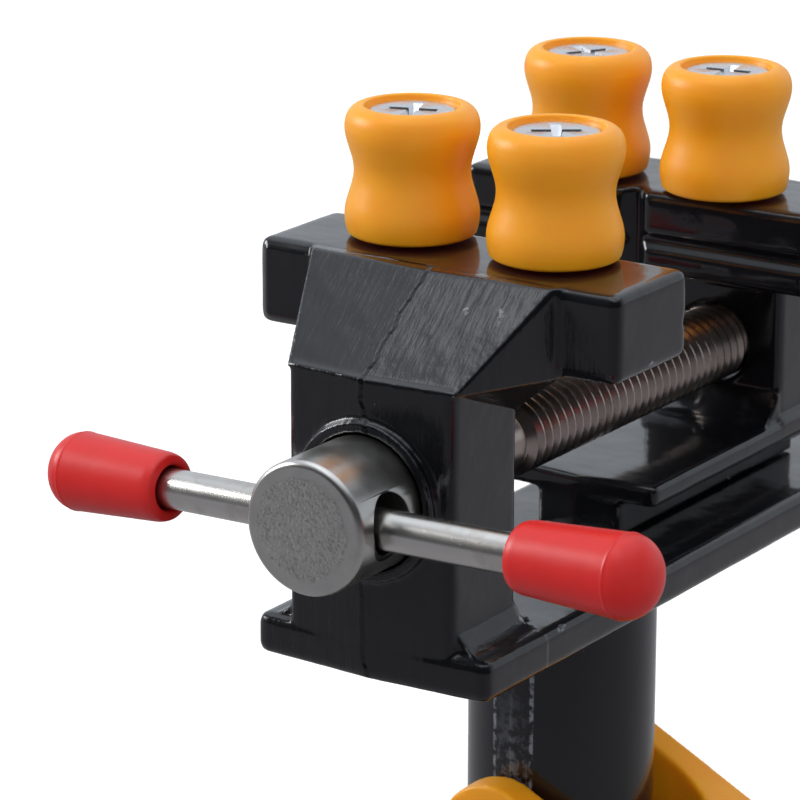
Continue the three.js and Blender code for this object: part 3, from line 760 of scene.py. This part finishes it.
# ------------------------------------------------------------------ spindle, handle
def thread_body(name, radius, start_y, end_y):
    """A right-hand V thread with flat crests, as one helical sheet closed at both ends."""
    pitch = THREAD_PITCH_MM * MM
    depth = THREAD_DEPTH_MM * MM
    around, rows = 64, 14
    turns = int((end_y - start_y) / pitch) + 5
    total = turns * rows + rows
    first_y = start_y - 2 * pitch
    section = []
    for k in range(rows):
        t = k / rows
        flank = abs(2 * t - 1)
        section.append(radius - depth * min(1.0, max(0.0, (flank - 0.16) / 0.72)))
    points = []
    for k in range(total):
        for j in range(around):
            angle = 2 * math.pi * j / around
            r = section[k % rows]
            y = first_y + (k / rows + j / around) * pitch
            points.append((SCREW_AXIS.x + r * math.cos(angle), y, SCREW_AXIS.z - r * math.sin(angle)))
    faces = []
    for k in range(total - 1):
        for j in range(around - 1):
            a = k * around + j
            faces.append((a, a + 1, a + 1 + around, a + around))
    for k in range(total - 1 - rows):
        a = k * around + around - 1
        b = (k + rows) * around
        faces.append((a, b, b + around, a + around))
    last = (total - 1) * around
    start_rim = list(range(around)) + [r * around for r in range(rows, 0, -1)]
    end_rim = [last + j for j in range(around)]
    end_rim += [(total - 1 - r) * around + around - 1 for r in range(1, rows + 1)]
    for rim, y in ((start_rim, first_y), (end_rim, first_y + (total / rows + 0.5) * pitch)):
        hub = len(points)
        points.append((SCREW_AXIS.x, y, SCREW_AXIS.z))
        for k, corner in enumerate(rim):
            faces.append((hub, corner, rim[(k + 1) % len(rim)]))
    piece = add_object(name, mesh_from(name, points, faces))
    face_out(piece)
    return piece


def spindle_neck(profile, middle, thread_start):
    """The turned front of the spindle: its head and neck, run 2 mm into the thread."""
    neck = [(r, h) for r, h in profile if middle.y + h < thread_start + 0.01 * MM]
    neck_end = thread_start - middle.y + 2 * MM
    neck += [(neck[-1][0], neck_end), (0, neck_end)]
    return revolve("spindle_fine", soften(neck, 0.35 * MM, False), "Y", middle)


def cross_hole(hole_y):
    """Cutter for the cross bar's hole, square to the screw."""
    middle = Vector((SCREW_AXIS.x, hole_y, SCREW_AXIS.z))
    across = Vector((HANDLE_AXIS.x, 0, HANDLE_AXIS.z)).normalized() * (HEAD_RADIUS + 2 * MM)
    return rod("cross_hole", CROSS_HOLE_MM * MM, middle - across, middle + across)


def thread_limits(start_y, end_y):
    """The thread's outer shape: a cylinder whose ends taper down to the core."""
    crest = (THREAD_RADIUS_MM + 0.05) * MM
    core = (THREAD_RADIUS_MM - THREAD_DEPTH_MM) * MM
    envelope = [(0, start_y), (core - 0.1 * MM, start_y), (crest, start_y + 1.2 * MM)]
    envelope += [(crest, end_y - 1.3 * MM), (core - 0.2 * MM, end_y), (0, end_y)]
    return revolve("thread_limits", envelope, "Y", Vector((SCREW_AXIS.x, 0, SCREW_AXIS.z)))


def build_spindle():
    profile, middle, _ = meridian("spindle", "Y")
    radius = THREAD_RADIUS_MM * MM
    heights = [height for reach, height in profile if abs(reach - radius) < 0.01 * MM]
    thread_start = middle.y + sorted(heights)[-2] - 1.0 * MM
    thread_end = middle.y + profile[-1][1]
    piece = spindle_neck(profile, middle, thread_start)
    hole_y = HANDLE_MIDDLE.y + (HANDLE_AXIS.y / HANDLE_AXIS.x) * (SCREW_AXIS.x - HANDLE_MIDDLE.x)
    boolean(piece, cross_hole(hole_y), "DIFFERENCE")
    thread = thread_body("thread", radius, thread_start, thread_end)
    boolean(thread, thread_limits(thread_start, thread_end), "INTERSECT")
    boolean(piece, thread, "UNION")
    soft_edges_on_head(piece, hole_y)
    smooth(piece, 32)
    stand_in(piece, "spindle", NICKEL_HEAD)
    piece.data.materials.append(NICKEL_THREAD)
    for face in piece.data.polygons:
        face.material_index = 1 if face.center.y > HEAD_FRONT_Y + PLAIN_SPINDLE_MM * MM else 0


def soft_edges_on_head(piece, hole_y):
    """Rounds the mouths of the cross hole."""
    work = bmesh.new()
    work.from_mesh(piece.data)
    near = []
    for edge in work.edges:
        if len(edge.link_faces) != 2:
            continue
        middle = (edge.verts[0].co + edge.verts[1].co) / 2
        on_head = abs(middle.y - hole_y) < CROSS_HOLE_MM * MM
        if on_head and edge.calc_face_angle(0) > math.radians(28):
            near.append(edge)
    bmesh.ops.bevel(work, geom=near, offset=0.22 * MM, segments=3, profile=0.5, affect="EDGES")
    work.to_mesh(piece.data)
    work.free()


def handle_span(node):
    """Where a handle piece starts and ends along the leaning bar, and its radius."""
    offsets = [vertex.co - HANDLE_MIDDLE for vertex in frame["nodes"][node].data.vertices]
    along = [offset.dot(HANDLE_AXIS) for offset in offsets]
    radius = max((offset - HANDLE_AXIS * offset.dot(HANDLE_AXIS)).length for offset in offsets)
    return min(along), max(along), radius


def lean(piece):
    """Turns a piece drawn along X about the origin onto the leaning bar's axis."""
    turn = Vector((1, 0, 0)).rotation_difference(HANDLE_AXIS).to_matrix().to_4x4()
    piece.data.transform(Matrix.Translation(HANDLE_MIDDLE) @ turn)
    return piece


def build_tommy_bar():
    start, end, radius = handle_span("tommy_bar")
    outline = [(0, start), (radius - 0.4 * MM, start), (radius, start + 0.4 * MM)]
    outline += [(radius, end - 0.4 * MM), (radius - 0.4 * MM, end), (0, end)]
    piece = lean(revolve("tommy_bar_fine", soften(outline, 0.2 * MM, False), "X", (0, 0, 0)))
    smooth(piece)
    stand_in(piece, "tommy_bar", NICKEL_BAR)


def build_cap(node, outward):
    """A tapered cap with a rounded mouth, a thin moulding line at the shoulder and a domed end."""
    start, end, outer = handle_span(node)
    length = end - start
    inner = outer * 0.862
    socket = handle_span("tommy_bar")[2] + CLEARANCE_MM * MM
    wall = 2.7 * MM
    dome = length * 0.21
    shoulder = length - dome
    outline = [(0, length - wall), (socket, length - wall), (socket, 0.3 * MM), (socket + 0.25 * MM, 0)]
    outline += [(inner - 1.05 * MM, 0), (inner - 0.28 * MM, 0.28 * MM), (inner, 1.15 * MM)]
    outline += [(outer - 0.06 * MM, shoulder - 0.25 * MM), (outer, shoulder - 0.07 * MM)]
    outline += [(outer, shoulder + 0.07 * MM), (outer - 0.10 * MM, shoulder + 0.22 * MM)]
    steps = 22
    for k in range(2, steps):
        turn = math.pi / 2 * k / steps
        outline.append(((outer - 0.08 * MM) * math.cos(turn), shoulder + dome * math.sin(turn)))
    outline.append((0, length))
    mouth = start if outward > 0 else end
    placed = [(radius, outward * height) for radius, height in soften(outline, 0.3 * MM, False)]
    piece = lean(revolve(f"{node}_fine", placed, "X", (mouth, 0, 0)))
    smooth(piece, 50)
    stand_in(piece, node, RED)


def build_handle():
    build_tommy_bar()
    build_cap("cap_left", -1)
    build_cap("cap_right", 1)


# ------------------------------------------------------------------ post, lever and base
def build_post():
    x, y = POST_AXIS.x, POST_AXIS.y
    radius = size("post").x / 2
    low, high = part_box("post")
    outline = [(0, low.z), (radius - 0.6 * MM, low.z), (radius, low.z + 0.6 * MM)]
    outline += [(radius, high.z - 0.5 * MM), (radius - 0.5 * MM, high.z), (0, high.z)]
    piece = revolve("post_fine", soften(outline, 0.4 * MM, False), "Z", Vector((x, y, 0)), steps=192)
    pin_z = centre("pivot_pin").z
    hole = rod("pin_hole", PIN_HOLE_MM * MM, (x, y - 2 * radius, pin_z), (x, y + 2 * radius, pin_z))
    boolean(piece, hole, "DIFFERENCE")
    for end, depth_mm in ((high.z, -BOLT_BORE_TOP_DEPTH_MM), (low.z, BOLT_BORE_FOOT_DEPTH_MM)):
        outside = end - math.copysign(1 * MM, depth_mm)
        bore = rod("bolt_bore", BOLT_BORE_MM * MM, (x, y, outside), (x, y, end + depth_mm * MM))
        boolean(piece, bore, "DIFFERENCE")
    smooth(piece, 30)
    stand_in(piece, "post", ENAMEL)


def build_base():
    turned("base_housing", "Z", BLACK_PLASTIC, 0.9, 192)
    turned("guide_bush", "Z", WHITE_NYLON, 0.25)
    turned("cup_plate", "Z", ZINC, 0.3)
    turned("cup_bolt", "Z", ZINC, 0.25, 64)
    build_suction_cup()
    build_return_spring()


def build_suction_cup():
    """The suction cup: its CAD node remeshed, smoothed and thinned out; it rides no body."""
    piece = remeshed("suction_cup", "suction_cup_fine", 0.45, 5)
    thin = piece.modifiers.new("Decimate", "DECIMATE")
    thin.ratio = 0.5
    bake(piece)
    shade_smooth(piece)
    stand_between(piece, "suction_cup", RUBBER)


def coil(middle, radius, bottom, top, turns, per_turn):
    """The spring's centre line. Its first and last turns lie flat."""
    count = int(turns * per_turn)
    path = []
    for k in range(count + 1):
        angle = 2 * math.pi * turns * k / count
        eased = min(1.0, max(0.0, (k / count - 0.14) / 0.72))
        height = bottom + (top - bottom) * eased
        path.append(middle + Vector((radius * math.cos(angle), radius * math.sin(angle), height)))
    return path


def wire_along(name, path, middle, wire, around=14):
    """Round wire along a path that winds about the upright axis through middle."""
    count = len(path) - 1
    points, faces = [], []
    for k, place in enumerate(path):
        ahead = (path[min(k + 1, count)] - path[max(k - 1, 0)]).normalized()
        out = (place - Vector((middle.x, middle.y, place.z))).normalized()
        up = ahead.cross(out).normalized()
        for j in range(around):
            turn = 2 * math.pi * j / around
            points.append(place + wire * (out * math.cos(turn) + up * math.sin(turn)))
    for k in range(count):
        for j in range(around):
            n = (j + 1) % around
            a, b = k * around, (k + 1) * around
            faces.append((a + j, a + n, b + n, b + j))
    faces.append(tuple(range(around)))
    faces.append(tuple(count * around + j for j in reversed(range(around))))
    piece = add_object(name, mesh_from(name, points, faces))
    face_out(piece)
    return piece


def build_return_spring():
    """Round wire wound between the cup plate and the housing."""
    low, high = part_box("return_spring")
    wire = 0.8 * MM
    radius = size("return_spring").x / 2 - wire
    middle = Vector((POST_AXIS.x, POST_AXIS.y, 0))
    path = coil(middle, radius, low.z + wire, high.z - wire, 3.5, 56)
    piece = wire_along("return_spring_fine", path, middle, wire)
    smooth(piece, 50)
    stand_between(piece, "return_spring", ZINC)


def build_small_metal():
    turned("pivot_pin", "Y", ZINC, 0.3, 96)
    turned("spindle_washer", "Y", ZINC, 0.15, 96)
    turned("swivel_washer", "Z", BLACK_PLASTIC, 0.1)
    for node in ("spindle_clip", "pivot_clip", "keeper_plate", "keeper_screw", "swivel_bolt"):
        piece = copy_of(node, f"{node}_fine")
        soft_edges(piece, 0.12)
        stand_in(piece, node, ZINC)


# ------------------------------------------------------------------ studio
CAMERA_AZIMUTH = 33.79
CAMERA_ELEVATION = 16.85
CAMERA_ROLL = 0.12
CAMERA_DISTANCE_MM = 481.87
CAMERA_LENS = 180.3
AIM_RIGHT_MM = -11.36
AIM_UP_MM = 5.0
AIM_DEPTH_MM = 40.0


def build_camera():
    azimuth, elevation = math.radians(CAMERA_AZIMUTH), math.radians(CAMERA_ELEVATION)
    back = Vector((math.sin(azimuth) * math.cos(elevation), -math.cos(azimuth) * math.cos(elevation),
                   math.sin(elevation)))
    right = Vector((math.cos(azimuth), math.sin(azimuth), 0))
    up = back.cross(right)
    aim = Vector((SCREW_AXIS.x, HEAD_FRONT_Y + AIM_DEPTH_MM * MM, SCREW_AXIS.z))
    aim += right * AIM_RIGHT_MM * MM + up * AIM_UP_MM * MM
    lens = bpy.data.cameras.new("camera")
    lens.lens = CAMERA_LENS
    lens.sensor_width = 36
    lens.clip_start, lens.clip_end = 0.01, 20
    camera = bpy.data.objects.new("camera", lens)
    bpy.context.scene.collection.objects.link(camera)
    turn = Matrix((right, up, back)).transposed() @ Matrix.Rotation(math.radians(CAMERA_ROLL), 3, "Z")
    camera.matrix_world = Matrix.Translation(aim + back * CAMERA_DISTANCE_MM * MM) @ turn.to_4x4()
    bpy.context.scene.camera = camera
    sharp = bpy.data.objects.new("focus", None)
    bpy.context.scene.collection.objects.link(sharp)
    sharp.location = (SCREW_AXIS.x, HEAD_FRONT_Y + 14 * MM, SCREW_AXIS.z + 10 * MM)
    lens.dof.use_dof = True
    lens.dof.focus_object = sharp
    lens.dof.aperture_fstop = 110


def area_light(name, place, aim, width, height, power):
    data = bpy.data.lights.new(name, "AREA")
    data.shape = "RECTANGLE"
    data.size, data.size_y = width, height
    data.energy = power
    lamp = bpy.data.objects.new(name, data)
    bpy.context.scene.collection.objects.link(lamp)
    lamp.location = place
    lamp.rotation_euler = (Vector(aim) - Vector(place)).to_track_quat("-Z", "Y").to_euler()


def either(tree, share, first, second, kind="FLOAT"):
    """First where share is 0 and second where it is 1."""
    mixed = tree.nodes.new("ShaderNodeMix")
    mixed.data_type = kind
    tree.links.new(share, mixed.inputs["Factor"])
    for name, value in (("A", first), ("B", second)):
        if isinstance(value, bpy.types.NodeSocket):
            tree.links.new(value, mixed.inputs[name])
        else:
            mixed.inputs[name].default_value = value
    return mixed.outputs["Result"]


def build_world():
    """White studio all round. What mirrors in the vise is darker in front and bluer."""
    world = bpy.data.worlds.new("studio")
    bpy.context.scene.world = world
    world.use_nodes = True
    tree = world.node_tree
    tree.nodes.clear()
    place = tree.nodes.new("ShaderNodeTexCoord").outputs["Generated"]
    facing = tree.nodes.new("ShaderNodeVectorMath")
    facing.operation = "DOT_PRODUCT"
    facing.inputs[1].default_value = STUDIO_FRONT
    tree.links.new(place, facing.inputs[0])
    height = tree.nodes.new("ShaderNodeSeparateXYZ")
    tree.links.new(place, height.inputs[0])
    whole = tree.nodes.new("ShaderNodeMath")
    tree.links.new(graded(tree, facing.outputs["Value"], MIRRORED_STUDIO), whole.inputs[0])
    tree.links.new(graded(tree, height.outputs["Z"], MIRRORED_CEILING), whole.inputs[1])
    path = tree.nodes.new("ShaderNodeLightPath").outputs
    strength = either(tree, path["Is Glossy Ray"], STUDIO_STRENGTH, whole.outputs[0])
    strength = either(tree, path["Is Camera Ray"], strength, 1.0)
    tint = either(tree, path["Is Glossy Ray"], colour(1, 1, 1), MIRRORED_TINT, "RGBA")
    around = tree.nodes.new("ShaderNodeBackground")
    tree.links.new(strength, around.inputs["Strength"])
    tree.links.new(tint, around.inputs["Color"])
    out = tree.nodes.new("ShaderNodeOutputWorld")
    tree.links.new(around.outputs[0], out.inputs["Surface"])


def build_studio():
    half = 3.0
    corners = [(-half, -half, 0), (half, -half, 0), (half, half, 0), (-half, half, 0)]
    floor = add_object("floor", mesh_from("floor", corners, [(0, 1, 2, 3)]))
    floor.location.z = -0.0002
    floor.data.materials.append(floor_material())
    middle = POST_AXIS
    area_light("key_left", (-0.78, -0.28, 0.44), middle, 0.34, 0.34, 3.4)
    area_light("top_strip", (-0.10, -0.25, 0.80), middle, 0.55, 0.10, 0.35)
    build_world()
    view = bpy.context.scene.view_settings
    view.view_transform = "Standard"
    view.look = "None"
    view.exposure = 0.0


build_castings()
for roller in ("roller_front_left", "roller_front_right", "roller_rear_left", "roller_rear_right"):
    build_roller(roller)
for screw, turn_deg in (("front_left", 20), ("front_right", 35), ("rear_left", 60), ("rear_right", 10)):
    build_roller_screw(f"roller_screw_{screw}", turn_deg)
build_spindle()
build_handle()
build_post()
skin("lever_fork", ORANGE, 0.35, 14, keep=0.5)
build_base()
build_small_metal()
build_studio()
build_camera()
